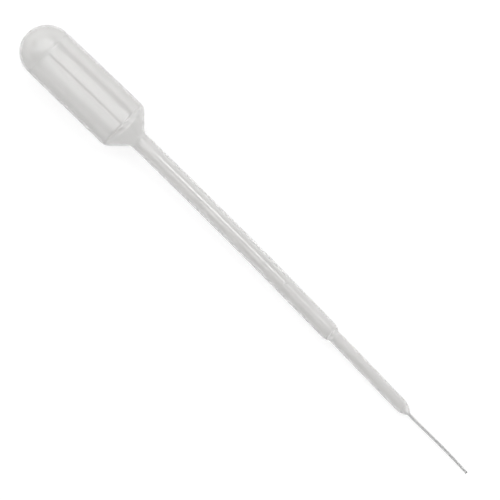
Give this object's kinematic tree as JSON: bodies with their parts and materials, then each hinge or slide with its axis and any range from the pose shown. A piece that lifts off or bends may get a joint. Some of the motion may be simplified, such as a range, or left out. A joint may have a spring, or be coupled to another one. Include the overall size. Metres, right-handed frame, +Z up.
{
  "type": "plastic dropper pipette",
  "caption": "One-piece dropper pipette of soft translucent plastic: a squeeze bulb, a long straight stem, a narrower lower tube and a fine drawn tip.",
  "frame": {"origin": "middle of the footprint, on the surface the pipette lies on", "axes": "+X along the pipette towards its fine tip, +Z up; the pipette lies nose down, its own axis about 3 degrees below +X"},
  "size_m": [0.1548, 0.014, 0.0152],
  "materials": {
    "milky_polyethylene": "natural low-density polyethylene, blow-moulded, see-through but milky, softly glossy"
  },
  "bodies": {
    "root": {"dropper_pipette": "milky_polyethylene"}
  },
  "joints": []
}
